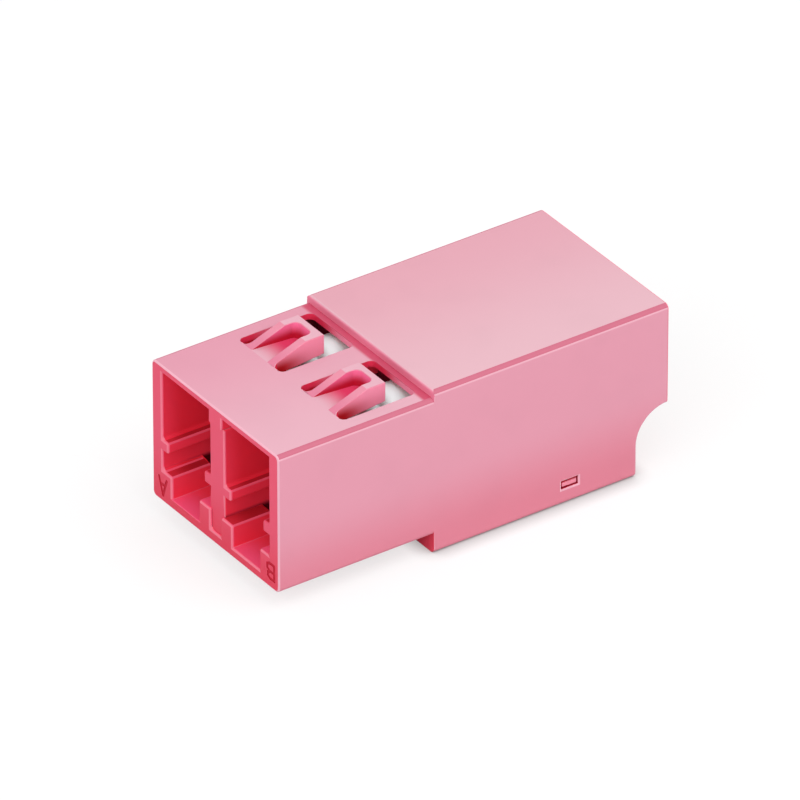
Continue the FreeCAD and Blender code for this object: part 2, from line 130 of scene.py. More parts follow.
# Rounds of the moulding's corners
SHARP_ANGLE = math.radians(35)
FLAT_ANGLE = math.radians(1)
WELD_LENGTH = 0.0005
WIDEST_ROUND = 0.3
ROUND_STEPS = 3
LONG_ROUND = 0.35
CAVITY_ROUND = 0.25
OUTER_ROUND = 0.1
MOUTH_ROUND = 0.13
LINTEL_ROUND = 0.06
WINDOW_ROUND = 0.035
SNAP_ROUND = 0.09
STOP_EDGE_ROUND = 0.06
INNER_ROUND = 0.05
RIB_ROUND = 0.1
CORNER_FILLET = 0.06
LEDGE_FILLET = 0.3
FILLETS = {RIB_TOP: 0.2, SLOT_FLOOR: 0.25}
TONGUE_ROUND = 0.05
HOLDER_ROUND = 0.05
SLEEVE_ROUND = 0.02

# How much of a face's normal lies along an axis, from square to it down to barely turned
SQUARE = 0.99
NEAR_SQUARE = 0.98
STEEP = 0.7
HALFWAY = 0.5
BAND_TURN = 0.45
LEANING = 0.3
SLANTED = 0.2
SLIGHT = 0.1

# Port marks, engraved upside down as the adapter lies: middle across and up, width and height
MARKS = {"A": (-5.45, 2.31, 1.0, 1.37), "B": (5.69, 2.43, 0.9, 1.23)}
MARK_DEPTH = 0.05
MARK_STROKE = 0.2
STROKE_OVERLAP = 0.7

# Strokes of each mark as it reads, on a square of one
MARK_LINES = {
    "A": [[(0, 0), (0.5, 1), (1, 0)], [(0.2, 0.36), (0.8, 0.36)]],
    "B": [
        [(0, 0), (0, 1), (0.62, 1), (0.92, 0.88), (0.92, 0.66), (0.62, 0.53), (0, 0.53)],
        [(0.62, 0.53), (1, 0.4), (1, 0.13), (0.66, 0), (0, 0)],
    ],
}

# Colours, as linear light. Most pinks are lit and shaded copies of the one pink plastic, which paint light
# and shade onto it
# Tops: painted sheen, paler towards +X, with painted shade towards -X
BLOCK_PAINTED_SHADE = (0.72, 0.347, 0.42)
BLOCK_PAINTED_SHEEN = (0.74, 0.438, 0.50)
NOSE_PAINTED_SHADE = (0.711, 0.30, 0.392)
NOSE_PAINTED_SHEEN = (0.74, 0.40, 0.48)
# Foot of the step on the nose top: painted shade
STEP_FOOT_PAINTED_SHADE = (0.57, 0.07, 0.138)
RISER_PINK = (0.78, 0.22, 0.33)
# Sides: darker towards the floor, painted shade
SIDE_PALE = (0.777, 0.322, 0.42)
SIDE_PAINTED_SHADE = (0.75, 0.227, 0.309)
# Rounded long edges: a painted dark reflection band
BAND_PAINTED_REFLECTION = (0.58, 0.14, 0.215)
# Rounded outer edges: painted highlight
EDGE_PAINTED_HIGHLIGHT = (0.82, 0.42, 0.51)
# Rim of the snap windows: painted highlight
SNAP_RIM_PAINTED_HIGHLIGHT = (0.98, 0.62, 0.70)
# Rims of the port mouths and rear face: painted highlight
RIM_PAINTED_HIGHLIGHT = (0.85, 0.18, 0.26)
# Front faces: darker towards the bottom, painted shade
FACE_PINK = (0.785, 0.08, 0.153)
FACE_PAINTED_SHADE = (0.735, 0.047, 0.093)
# Port walls: painted light at the mouth, then plain pink
PORT_MOUTH_PAINTED_LIGHT = (0.95, 0.045, 0.095)
PORT_PINK = (0.89, 0.029, 0.062)
# Port side walls: painted light
PORT_SIDE_PAINTED_LIGHT = (0.98, 0.048, 0.10)
# Rounded edges inside the ports: painted highlight
PORT_EDGE_PAINTED_HIGHLIGHT = (0.95, 0.12, 0.22)
# Port floors: painted light near the mouth, painted shade further in
PORT_FLOOR_PAINTED_LIGHT = (1.0, 0.10, 0.23)
INNER_FLOOR_PAINTED_SHADE = (0.93, 0.045, 0.09)
# Tops of ribs and ledges in the ports: painted shade, deeper inwards
PORT_SHELF_PAINTED_SHADE = (0.66, 0.025, 0.05)
SHELF_DEEPER_PAINTED_SHADE = (0.48, 0.014, 0.028)
# Deep inside the ports: painted shade
PORT_PAINTED_SHADE = (0.11, 0.004, 0.014)
# Window walls: red, with painted light part way along the side walls and towards the right of each rear
# wall
WINDOW_PINK = (0.82, 0.032, 0.095)
WINDOW_PAINTED_LIGHT = (0.92, 0.26, 0.40)
# Tongue ramps: painted shade at the foot, painted light up the ramp
RAMP_PAINTED_SHADE = (0.68, 0.19, 0.29)
RAMP_PAINTED_LIGHT = (0.75, 0.25, 0.345)
# Tongue flanks: painted shade towards the bottom, paler again towards the free end
FLANK_PALE = (0.95, 0.30, 0.44)
FLANK_PAINTED_SHADE = (0.47, 0.008, 0.015)
# Tongue pockets: painted shade down the walls and along the floor
POCKET_PALE = (0.88, 0.165, 0.34)
POCKET_FLOOR_PAINTED_SHADE = (0.71, 0.05, 0.14)
POCKET_WALL_PAINTED_SHADE = (0.47, 0.007, 0.03)
LUG_PINK = (0.92, 0.30, 0.40)
# Dark gap in the snap windows and round the lugs: painted shade
SNAP_PAINTED_SHADE = (0.40, 0.01, 0.03)
MARK_RED = (0.56, 0.02, 0.045)
HOLDER_WHITE = (0.88, 1.0, 1.0)
HOLDER_SHADE = (0.45, 0.44, 0.43)
ZIRCONIA_WHITE = (0.88, 0.87, 0.82)
FULL_WHITE = (1, 1, 1, 1)

# Reaches of the washes of colour, which paint light and shade: an axis, and the levels where a wash starts
# and is full
SHEEN_ACROSS = ("X", -SIDE_FACE, SIDE_FACE)
SHADE_DOWNWARDS = ("Z", 6.0, 1.0)
STEP_FOOT_SHADE_REACH = ("Y", STOP_FACE - 0.72, STOP_FACE - 0.42)
RISER_REACH = ("Z", RIB_TOP, NOSE_TOP - 0.5)
RISER_EDGE_HIGHLIGHT = ("Z", BLOCK_TOP - 0.12, BLOCK_TOP)
LEDGE_CORNER_SHADE = ("Z", LEDGE_TOP + 0.25, LEDGE_TOP - 0.15)
WINDOW_FRONT = ("Y", ROOT_LINE + 0.8, ROOT_LINE + 2.8)
WINDOW_BACK = ("Y", ROOT_LINE + 3.4, ROOT_LINE + 4.2)
LEFT_WINDOW = ("X", -4.4, -2.0)
BETWEEN_WINDOWS = ("X", -0.5, 0.5)
RIGHT_WINDOW = ("X", 1.8, 4.2)
UP_RAMP = ("Y", ROOT_LINE + 0.4, ROOT_LINE + 2.0)
FLANK_SHADE_REACH = ("Z", NOSE_TOP + 0.6, NOSE_TOP - 0.4)
ALONG_FLANK = ("Y", ROOT_LINE + 0.6, ROOT_LINE + 3.0)
ALONG_POCKET = ("Y", ROOT_LINE, ROOT_LINE + 2.1)
POCKET_SHADE_REACH = ("Z", RIDGE - 0.1, NOSE_TOP)
LUG_UPPER_SHADE = ("Z", LUG_MIDDLE + 0.08, LUG_MIDDLE + 0.2)
LUG_LOWER_SHADE = ("Z", LUG_MIDDLE - 0.08, LUG_MIDDLE - 0.2)
HOLDER_MOUTH = ("Y", HOLDER_FRONT + 1.1, HOLDER_FRONT + 0.1)
HOLDER_SIDES = ("Z", BARREL_AXIS + 0.75, BARREL_AXIS + 0.35)

# Depths behind a port's mouth where a painted darkening starts and is full
MOUTH_FADE = (0.2, 1.6)
FLOOR_FADE = (0.3, 2.4)
LEDGE_SHADE_DEPTHS = (LEDGE_END, 6.0)
WALL_SHADE_DEPTHS = (6.0, 9.0)

# Moulded surface: flow marks and grain, and how far the grain spreads the roughness
FLOW_SIZE = 3.5
FLOW_DETAIL = 2.0
FLOW_BAND = (0.45, 0.75)
GRAIN_DETAIL = 3.0
GRAIN_BAND = (0.2, 0.8)
GRAIN_SPREAD = 0.06

# Sockets of Blender's mix node that work on colours
MIX_FACTOR = 0
MIX_UNDER = 6
MIX_OVER = 7
MIX_RESULT = 2

# Floor and surround: sizes, and light as shares of full white
FLOOR_SIZE = 6.0
FLOOR_BOUNCE = 0.7
FLOOR_GLOW = 0.7
CONTACT_SHADE = 0.68
CONTACT_REACH = 1.2
AMBIENT = 0.57

# Softboxes in metres from the origin: the direction and level of each
SOFTBOX_DISTANCE = 0.4
SOFTBOX_SIZE = 0.35
SOFTBOXES = {
    "key_softbox": ((0.55, 0.1, 0.85), 0.5),
    "front_softbox": ((0.35, -0.78, 0.52), 0.42),
    "left_softbox": ((-0.92, -0.1, 0.2), 0.22),
}

# Camera, as fitted to the photograph
CAMERA_PLACE = (0.55388, -0.38502, 0.43722)
CAMERA_AIM = (0.00002, -0.0008, 0.006446)
CAMERA_LENS = 618.03
CAMERA_SENSOR = 36.0


# Materials


def new_material(name):
    material = bpy.data.materials.new(name)
    material.use_nodes = True
    nodes = material.node_tree.nodes
    links = material.node_tree.links
    return material, nodes, links, nodes["Principled BSDF"]


def add_noise(nodes, links, place, size, detail):
    """Noise whose features are about the given size in millimetres, fixed to the object."""
    noise = nodes.new("ShaderNodeTexNoise")
    noise.inputs["Scale"].default_value = 1 / (size * MM)
    noise.inputs["Detail"].default_value = detail
    links.new(place.outputs["Object"], noise.inputs["Vector"])
    return noise.outputs["Fac"]


def spread_between(nodes, links, factor, reach, values, soft=False):
    """Carry a factor from one reach of values to another."""
    span = nodes.new("ShaderNodeMapRange")
    span.interpolation_type = "SMOOTHSTEP" if soft else "LINEAR"
    span.inputs["From Min"].default_value = reach[0]
    span.inputs["From Max"].default_value = reach[1]
    span.inputs["To Min"].default_value = values[0]
    span.inputs["To Max"].default_value = values[1]
    links.new(factor, span.inputs["Value"])
    return span.outputs["Result"]


def blend_colours(nodes, links, factor, under, over, way="MIX"):
    """Lay one colour over another; under may be a socket or a plain colour."""
    mix = nodes.new("ShaderNodeMix")
    mix.data_type = "RGBA"
    mix.blend_type = way
    links.new(factor, mix.inputs[MIX_FACTOR])
    if isinstance(under, tuple):
        mix.inputs[MIX_UNDER].default_value = (*under, 1)
    else:
        links.new(under, mix.inputs[MIX_UNDER])
    mix.inputs[MIX_OVER].default_value = (*over, 1)
    return mix.outputs[MIX_RESULT]


def plastic(name, colour, washes=(), roughness=0.45, gloss=0.35, grain=0.07, grain_depth=0.0015, flow=0.02):
    """Moulded plastic: washes of colour along an axis, which paint light and shade, faint flow marks, and
    the mould's fine grain.
    """
    material, nodes, links, shader = new_material(name)
    place = nodes.new("ShaderNodeTexCoord")
    split = nodes.new("ShaderNodeSeparateXYZ")
    links.new(place.outputs["Object"], split.inputs["Vector"])
    tone = colour
    for wash_colour, (axis, start, end) in washes:
        reach = (start * MM, end * MM)
        factor = spread_between(nodes, links, split.outputs[axis], reach, (0, 1), soft=True)
        tone = blend_colours(nodes, links, factor, tone, wash_colour)
    slow = add_noise(nodes, links, place, FLOW_SIZE, FLOW_DETAIL)
    marks = spread_between(nodes, links, slow, FLOW_BAND, (0, 1), soft=True)
    tone = blend_colours(nodes, links, marks, tone, (1 - flow,) * 3, "MULTIPLY")
    links.new(tone, shader.inputs["Base Color"])
    fine = add_noise(nodes, links, place, grain, GRAIN_DETAIL)
    finish = (roughness - GRAIN_SPREAD, roughness + GRAIN_SPREAD)
    matt = spread_between(nodes, links, fine, GRAIN_BAND, finish)
    links.new(matt, shader.inputs["Roughness"])
    relief = nodes.new("ShaderNodeBump")
    relief.inputs["Strength"].default_value = 1.0
    relief.inputs["Distance"].default_value = grain_depth * MM
    links.new(fine, relief.inputs["Height"])
    links.new(relief.outputs["Normal"], shader.inputs["Normal"])
    shader.inputs["Specular IOR Level"].default_value = gloss
    return material


def by_depth(mouth_colour, *stages):
    """Painted shade inwards from both mouths, in stages that each have a colour and its depths."""
    inwards = []
    outwards = []
    under = mouth_colour
    for colour, (start, full) in stages:
        inwards.append((colour, ("Y", FRONT_FACE + start, FRONT_FACE + full)))
        outwards.insert(0, (under, ("Y", INSERT_FACE - full, INSERT_FACE - start)))
        under = colour
    return inwards + outwards


WALL_PAINTED_SHADING = by_depth(PORT_MOUTH_PAINTED_LIGHT, (PORT_PINK, MOUTH_FADE), (PORT_PAINTED_SHADE, WALL_SHADE_DEPTHS))
FLOOR_PAINTED_SHADING = by_depth(PORT_FLOOR_PAINTED_LIGHT, (INNER_FLOOR_PAINTED_SHADE, FLOOR_FADE), (PORT_PAINTED_SHADE, LEDGE_SHADE_DEPTHS))
SHELF_PAINTED_SHADING = by_depth(PORT_SHELF_PAINTED_SHADE, (SHELF_DEEPER_PAINTED_SHADE, MOUTH_FADE), (PORT_PAINTED_SHADE, LEDGE_SHADE_DEPTHS))
PINKS = {
    # Block and nose tops: painted sheen that grows across towards +X
    "block": plastic("pink_block", BLOCK_PAINTED_SHADE, [(BLOCK_PAINTED_SHEEN, SHEEN_ACROSS)], roughness=0.5),
    # Nose top: painted sheen across, and painted shade at the foot of the step
    "nose": plastic(
        "pink_nose", NOSE_PAINTED_SHADE, [(NOSE_PAINTED_SHEEN, SHEEN_ACROSS), (STEP_FOOT_PAINTED_SHADE, STEP_FOOT_SHADE_REACH)], roughness=0.5
    ),
    # Sides painted darker towards the bottom: painted shade
    "side": plastic("pink_side", SIDE_PALE, [(SIDE_PAINTED_SHADE, SHADE_DOWNWARDS)], roughness=0.5),
    # Stop faces: the low step in painted shade, the riser above lighter, and a painted highlight along its
    # top edge
    "stop": plastic(
        "pink_stop", FACE_PAINTED_SHADE, [(RISER_PINK, RISER_REACH), (BLOCK_PAINTED_SHEEN, RISER_EDGE_HIGHLIGHT)], gloss=0.2
    ),
    # Dark band on the rounded long edges: painted reflection
    "painted_dark_band": plastic("pink_painted_dark_band", BAND_PAINTED_REFLECTION, roughness=0.4),
    # Pale tone on rounded outer edges: painted highlight
    "edge": plastic("pink_painted_edge_highlight", EDGE_PAINTED_HIGHLIGHT, roughness=0.4),
    # Pale rims of the mouths: painted highlight
    "rim": plastic("pink_painted_rim_highlight", RIM_PAINTED_HIGHLIGHT, roughness=0.4),
    # Front faces painted darker towards the bottom: painted shade
    "face": plastic("pink_face", FACE_PINK, [(FACE_PAINTED_SHADE, SHADE_DOWNWARDS)], gloss=0.2),
    # Port walls: painted light at the mouth, painted shade deep inside
    "port": plastic("pink_port", PORT_MOUTH_PAINTED_LIGHT, WALL_PAINTED_SHADING, gloss=0.2, roughness=0.4),
    # Port side walls: painted light; lower walls with painted shade in the corner above the ledge
    "port_side": plastic("pink_port_side", PORT_SIDE_PAINTED_LIGHT, gloss=0.2, roughness=0.4),
    "port_low": plastic("pink_port_low", PORT_SIDE_PAINTED_LIGHT, [(PORT_PAINTED_SHADE, LEDGE_CORNER_SHADE)], gloss=0.2),
    # Rounded edges inside the ports: painted highlight
    "port_edge_highlight": plastic("pink_port_edge_highlight", PORT_EDGE_PAINTED_HIGHLIGHT, gloss=0.3, roughness=0.4),
    # Port floors: painted light near the mouth, painted shade with depth
    "port_floor": plastic("pink_port_floor", PORT_FLOOR_PAINTED_LIGHT, FLOOR_PAINTED_SHADING, gloss=0.2, roughness=0.4),
    # Rib and ledge tops: painted shade, darker with depth
    "port_shelf": plastic("pink_port_shelf", PORT_SHELF_PAINTED_SHADE, SHELF_PAINTED_SHADING, gloss=0.2, roughness=0.4),
    # Window walls: painted light and shade along and across them
    "window": plastic(
        "pink_window", WINDOW_PINK, [(WINDOW_PAINTED_LIGHT, WINDOW_FRONT), (WINDOW_PINK, WINDOW_BACK)], gloss=0.2
    ),
    "window_rear": plastic(
        "pink_window_rear",
        WINDOW_PINK,
        [(WINDOW_PAINTED_LIGHT, LEFT_WINDOW), (WINDOW_PINK, BETWEEN_WINDOWS), (WINDOW_PAINTED_LIGHT, RIGHT_WINDOW)],
        gloss=0.2,
    ),
    # Tongue ridges: the tops' painted sheen
    "ridge": plastic("pink_ridge", NOSE_PAINTED_SHEEN, roughness=0.5),
    # Ramp: painted shade at the foot, painted light towards the ridge
    "ramp": plastic("pink_ramp", RAMP_PAINTED_SHADE, [(RAMP_PAINTED_LIGHT, UP_RAMP)]),
    # Flanks: painted shade towards the bottom, paler towards the free end
    "flank": plastic("pink_flank", FLANK_PALE, [(FLANK_PAINTED_SHADE, FLANK_SHADE_REACH), (FLANK_PALE, ALONG_FLANK)]),
    # Pocket floor: painted sheen at the root, painted shade further back
    "pocket": plastic("pink_pocket", NOSE_PAINTED_SHEEN, [(POCKET_FLOOR_PAINTED_SHADE, ALONG_POCKET)], gloss=0.2),
    # Pocket walls: painted shade towards the bottom
    "pocket_wall": plastic("pink_pocket_wall", POCKET_PALE, [(POCKET_WALL_PAINTED_SHADE, POCKET_SHADE_REACH)], gloss=0.2),
    # Lug with painted shade above and below its bar
    "lug": plastic("pink_lug", LUG_PINK, [(SNAP_PAINTED_SHADE, LUG_UPPER_SHADE), (SNAP_PAINTED_SHADE, LUG_LOWER_SHADE)], gloss=0.3),
    # Inner walls of the snap window: painted shade
    "snap": plastic("pink_snap_shade", SNAP_PAINTED_SHADE, gloss=0.2),
    # Rim of the snap window: painted highlight
    "snap_rim_highlight": plastic("pink_snap_rim_highlight", SNAP_RIM_PAINTED_HIGHLIGHT, roughness=0.4),
    "mark": plastic("pink_mark", MARK_RED, roughness=0.6, gloss=0.1),
}
PINK_INDEX = {tone: index for index, tone in enumerate(PINKS)}
WHITE = plastic(
    "holder_white",
    HOLDER_WHITE,
    [(HOLDER_SHADE, HOLDER_MOUTH), (HOLDER_WHITE, HOLDER_SIDES)],
    roughness=0.4,
    gloss=0.4,
    flow=0.01,
)
CERAMIC = plastic(
    "zirconia_white", ZIRCONIA_WHITE, roughness=0.15, gloss=0.6, grain_depth=0.0003, flow=0.01
)


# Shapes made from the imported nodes


def node_mesh(node):
    """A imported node's mesh in millimetres."""
    mesh = bmesh.new()
    mesh.from_mesh(frame["nodes"][node].data)
    bmesh.ops.scale(mesh, vec=(1 / MM,) * 3, verts=mesh.verts)
    return mesh


def make_whole(mesh):
    """Join the facets of each flat face."""
    bmesh.ops.remove_doubles(mesh, verts=mesh.verts, dist=WELD_LENGTH)
    bmesh.ops.dissolve_degenerate(mesh, edges=mesh.edges, dist=WELD_LENGTH)
    bmesh.ops.dissolve_limit(
        mesh, angle_limit=FLAT_ANGLE, verts=mesh.verts, edges=mesh.edges, use_dissolve_boundaries=False
    )
    bmesh.ops.recalc_face_normals(mesh, faces=mesh.faces)


def flatten_roots(mesh, past_line):
    """Close the round root seat, so that a tongue runs into the housing as one moulding."""
    for vert in mesh.verts:
        for root in ROOTS.values():
            across = abs(vert.co.x - root.x) < TONGUE_HALF + ROOT_MARGIN
            high = abs(vert.co.z - root.z) < ROOT_HEIGHT
            along = root.y - ROOT_SEAT < vert.co.y < root.y + past_line
            if across and high and along:
                vert.co.y = root.y


def middle_of(edge):
    return (edge.verts[0].co + edge.verts[1].co) / 2


def runs_along(edge, axis):
    way = edge.verts[1].co - edge.verts[0].co
    return abs(way[axis]) > SQUARE * way.length


def is_fold(edge):
    return len(edge.link_faces) == 2 and edge.calc_face_angle(0) > SHARP_ANGLE


def faces_way(edge, axis, sign):
    """Whether one of the edge's faces looks squarely along an axis."""
    return any(face.normal[axis] * sign > SQUARE for face in edge.link_faces)


def finished(blank):
    """The mesh that an object's modifiers make; the object itself goes."""
    shaped = bmesh.new()
    shaped.from_object(blank, bpy.context.evaluated_depsgraph_get())
    shaped.normal_update()
    bpy.data.objects.remove(blank)
    return shaped


def combine(mesh, other, operation):
    """Join another closed mesh to a mesh, or cut it out."""
    blank = mesh_object("blank", mesh)
    tool = mesh_object("tool", other)
    step = blank.modifiers.new("step", "BOOLEAN")
    step.operation = operation
    step.solver = "EXACT"
    step.object = tool
    combined = finished(blank)
    bpy.data.objects.remove(tool)
    return combined


def shape(mesh, width_of):
    """Round each fold of a mesh by its own width."""
    share = mesh.edges.layers.float.new("bevel_weight_edge")
    for edge in mesh.edges:
        if is_fold(edge):
            edge[share] = width_of(edge) / WIDEST_ROUND
    blank = mesh_object("blank", mesh)
    rounding = blank.modifiers.new("rounding", "BEVEL")
    rounding.limit_method = "WEIGHT"
    rounding.width = WIDEST_ROUND
    rounding.segments = ROUND_STEPS
    rounding.use_clamp_overlap = False
    return finished(blank)


def mesh_object(name, mesh):
    data = bpy.data.meshes.new(name)
    mesh.to_mesh(data)
    mesh.free()
    made = bpy.data.objects.new(name, data)
    bpy.context.scene.collection.objects.link(made)
    return made


def paint(mesh, tone_of):
    for face in mesh.faces:
        face.material_index = PINK_INDEX[tone_of(face)]


def new_piece(name, mesh, materials):
    """Turn a shaped mesh into a smooth-shaded piece in metres."""
    bmesh.ops.scale(mesh, vec=(MM,) * 3, verts=mesh.verts)
    for face in mesh.faces:
        face.smooth = True
    for edge in mesh.edges:
        edge.smooth = not is_fold(edge)
    piece = mesh_object(name, mesh)
    for material in materials:
        piece.data.materials.append(material)
    even = piece.modifiers.new("even_normals", "WEIGHTED_NORMAL")
    even.keep_sharp = True
    return piece


# Rounds and tones of the ports, which the housing and the rear insert share


def port_round(edge, mouth, inward):
    """The round of a port's edge, from its depth behind the mouth and from the way it runs."""
    middle = middle_of(edge)
    depth = (middle.y - mouth) * inward
    if abs(middle.z - LIP_BOTTOM) < LEVEL and runs_along(edge, 0):
        return 0.0
    if runs_along(edge, 1):
        if edge.is_convex:
            return RIB_ROUND
        if abs(middle.z - LEDGE_TOP) < LEVEL and abs(middle.x) > PORT_AXIS:
            return LEDGE_FILLET
        for level, fillet in FILLETS.items():
            if abs(middle.z - level) < LEVEL:
                return fillet
        return CORNER_FILLET
    if not edge.is_convex:
        return 0.0
    if depth > DIVIDER_RECESS + LEVEL:
        return INNER_ROUND
    return LINTEL_ROUND if faces_way(edge, 2, -1) else MOUTH_ROUND


def port_tone(face, mouth, inward):
    """The tone of a face in or round the ports: painted highlights on the rims of the mouth, or the inside
    in painted light and shade.
    """
    middle = face.calc_center_median()
    normal = face.normal
    depth = (middle.y - mouth) * inward
    outward = -normal.y * inward
    reaches_in = abs(abs(middle.x) - PORT_AXIS) < INNER_HALF
    on_right = (abs(middle.x) - PORT_AXIS) * middle.x * inward > 0
    on_rib = RIB_BOTTOM - MOUTH_ROUND < middle.z < RIB_TOP + MOUTH_ROUND
    if depth < DIVIDER_RECESS + LEVEL and outward > SQUARE:
        return "face"
    # Rounded mouth edges: painted highlights; those turned away keep the front face's tone
    if depth < DIVIDER_RECESS + MOUTH_ROUND and outward > SLANTED:
        if min(normal.x * inward, normal.z) < -SLIGHT or on_right and on_rib:
            return "face"
        return "rim" if outward > HALFWAY else "port_edge_highlight"
    # Top of the lip's edge: painted highlight
    if abs(middle.z - LIP_BOTTOM) < LEVEL and normal.z > HALFWAY:
        return "rim"
    if normal.z > NEAR_SQUARE:
        on_floor = middle.z < CHANNEL_FLOOR + CORNER_FILLET or on_right and middle.z < RIB_BOTTOM
        return "port_floor" if on_floor else "port_shelf"
    # Rounded rib edges: painted highlight
    if reaches_in and normal.z > SLANTED and abs(normal.y) < SLIGHT:
        return "port_edge_highlight"
    # Side walls: painted light, with painted shade in the corner above the ledge
    if abs(normal.x) > STEEP:
        if reaches_in or middle.z > LIP_BOTTOM:
            return "port_side"
        if middle.z < RIB_BOTTOM:
            return "port_low"
    return "port"


# Housing


def at_root(point):
    return any(
        abs(point.y - root.y) < LEVEL and abs(point.x - root.x) < TONGUE_HALF + ROOT_MARGIN
        for root in ROOTS.values()
    )


def on_outer_edge(point):
    low = point.z < NOSE_BOTTOM + LONG_ROUND
    high = point.z > NOSE_TOP - LONG_ROUND
    wide = abs(point.x) > SIDE_FACE - LONG_ROUND
    return low or high or wide


def on_snap_window(point):
    along = SNAP_START - SNAP_ROUND - LEVEL < point.y < SNAP_END + SNAP_ROUND + LEVEL
    high = SNAP_BOTTOM - SNAP_ROUND - LEVEL < point.z < SNAP_TOP + SNAP_ROUND + LEVEL
    return along and high and abs(point.x) > INSERT_SIDE


def on_mark(point):
    return any(
        abs(point.x - across) < width / 2 + MARK_STROKE and abs(point.z - up) < height / 2 + MARK_STROKE
        for across, up, width, height in MARKS.values()
    )


def housing_round(edge):
    """The round of an edge: small on the outer skin and the windows, the ports' own rounds inside."""
    middle = middle_of(edge)
    outside = abs(middle.x) > SIDE_FACE - LEVEL
    if at_root(middle) or middle.y < FRONT_FACE + MARK_DEPTH + LEVEL and on_mark(middle):
        return 0.0
    if middle.y < FRONT_FACE + LEVEL:
        return OUTER_ROUND if on_outer_edge(middle) else port_round(edge, FRONT_FACE, 1)
    if abs(middle.y - STOP_FACE) < LEVEL and not edge.is_convex:
        return 0.0
    if abs(middle.z - NOSE_TOP) < LEVEL and faces_way(edge, 2, 1):
        return WINDOW_ROUND
    if on_snap_window(middle):
        return SNAP_ROUND if outside else 0.0
    if outside and middle.y < NOTCH_START:
        return STOP_EDGE_ROUND
    if middle.y > STOP_FACE - LEVEL:
        return OUTER_ROUND if edge.is_convex and (outside or middle.y > NOTCH_START) else 0.0
    if middle.z > PORT_TOP - LEVEL:
        return WINDOW_ROUND
    return port_round(edge, FRONT_FACE, 1)


def housing_tone(face):
    """The tone of a face: matt outer skin with painted sheen on the tops and painted shade low down,
    painted highlights and a painted dark band on the rounded long edges, front and stop faces, or the
    inside.
    """
    middle = face.calc_center_median()
    normal = face.normal
    outside = abs(middle.x) > SIDE_FACE - LEVEL
    if LEVEL / 2 < middle.y - FRONT_FACE < MARK_DEPTH + LEVEL and on_mark(middle):
        return "mark"
    if outside and abs(normal.x) > SQUARE or middle.z < NOSE_BOTTOM + LEVEL and normal.z < -SQUARE:
        return "side"
    if normal.z > SQUARE and middle.z > BLOCK_TOP - LEVEL:
        return "block"
    if normal.z > SQUARE and abs(middle.z - NOSE_TOP) < LEVEL:
        return "nose"
    # Snap window: painted shade on the inner walls, painted highlights on the rim
    if on_snap_window(middle):
        if abs(normal.x) < SLANTED:
            return "snap"
        return "snap_rim_highlight" if max(normal.y, -normal.z) > SLANTED else "edge"
    # Rounded long edges: a painted highlight on the steep facets, a painted dark reflection band on the
    # rest
    if abs(middle.x) > SIDE_FACE - LONG_ROUND and abs(normal.y) < SLIGHT:
        if middle.z < LOW_EDGE:
            return "side"
        return "edge" if abs(normal.z) < BAND_TURN else "painted_dark_band"
    # Front outer edges: painted highlight
    if middle.y < FRONT_FACE + OUTER_ROUND and normal.y > -SQUARE and on_outer_edge(middle):
        return "edge"
    from_stop = abs(middle.y - STOP_FACE)
    on_stop = from_stop < LEVEL or middle.z > NOSE_TOP and from_stop < STOP_REACH
    if on_stop and normal.y < 0:
        return "stop"
    # Rear rims: painted highlight on the rounds
    if middle.y > REAR_FACE - OUTER_ROUND - LEVEL and normal.y > SLANTED:
        return "face" if normal.y > SQUARE else "rim"
    # Outer edges of the block: painted highlight
    if abs(middle.x) > SIDE_FACE - OUTER_ROUND and middle.y > STOP_FACE:
        return "edge"
    # Window walls: painted light and shade
    if middle.z > PORT_TOP and LINTEL_END < middle.y < STOP_FACE:
        if normal.z > SLANTED:
            return "nose"
        return "window_rear" if normal.y < -HALFWAY else "window"
    return port_tone(face, FRONT_FACE, 1)


def mark_cutter(letter):
    """The strokes of a port letter as one cutter, upside down on the front face."""
    across, up, width, height = MARKS[letter]
    cutter = bmesh.new()
    for line in MARK_LINES[letter]:
        points = []
        for right, high in line:
            x = across - (right - 0.5) * (width - MARK_STROKE)
            z = up - (high - 0.5) * (height - MARK_STROKE)
            points.append(Vector((x, FRONT_FACE, z)))
        for start, end in zip(points, points[1:]):
            way = end - start
            length = way.length + STROKE_OVERLAP * MARK_STROKE
            place = Matrix.Translation((start + end) / 2)
            turn = Matrix.Rotation(-math.atan2(way.z, way.x), 4, "Y")
            size = Matrix.Diagonal((length, 2 * MARK_DEPTH, MARK_STROKE, 1))
            stroke = bmesh.new()
            bmesh.ops.create_cube(stroke, size=1, matrix=place @ turn @ size)
            cutter = combine(cutter, stroke, "UNION") if cutter.faces else stroke
    return cutter


def dress_housing():
    mesh = node_mesh("housing")
    flatten_roots(mesh, past_line=SEAT_REACH)
    for letter in MARKS:
        mesh = combine(mesh, mark_cutter(letter), "DIFFERENCE")
    make_whole(mesh)
    mesh = shape(mesh, housing_round)
    paint(mesh, housing_tone)
    piece = new_piece("housing_moulding", mesh, PINKS.values())
    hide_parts("housing")
    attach(piece, "adapter")


# Rear insert


def fill_lugs(mesh):
    """Set a flat bar over each snap lug's ramp, as it shows in the window."""
    for side in (-1, 1):
        centre = (side * INSERT_SIDE, (SNAP_START + SNAP_END) / 2, LUG_MIDDLE)
        size = (2 * LUG_REACH, SNAP_END - SNAP_START - 2 * LUG_GAP, LUG_HEIGHT)
        bar = bmesh.new()
        bmesh.ops.create_cube(bar, size=1, matrix=Matrix.Translation(centre) @ Matrix.Diagonal((*size, 1)))
        mesh = combine(mesh, bar, "UNION")
    return mesh


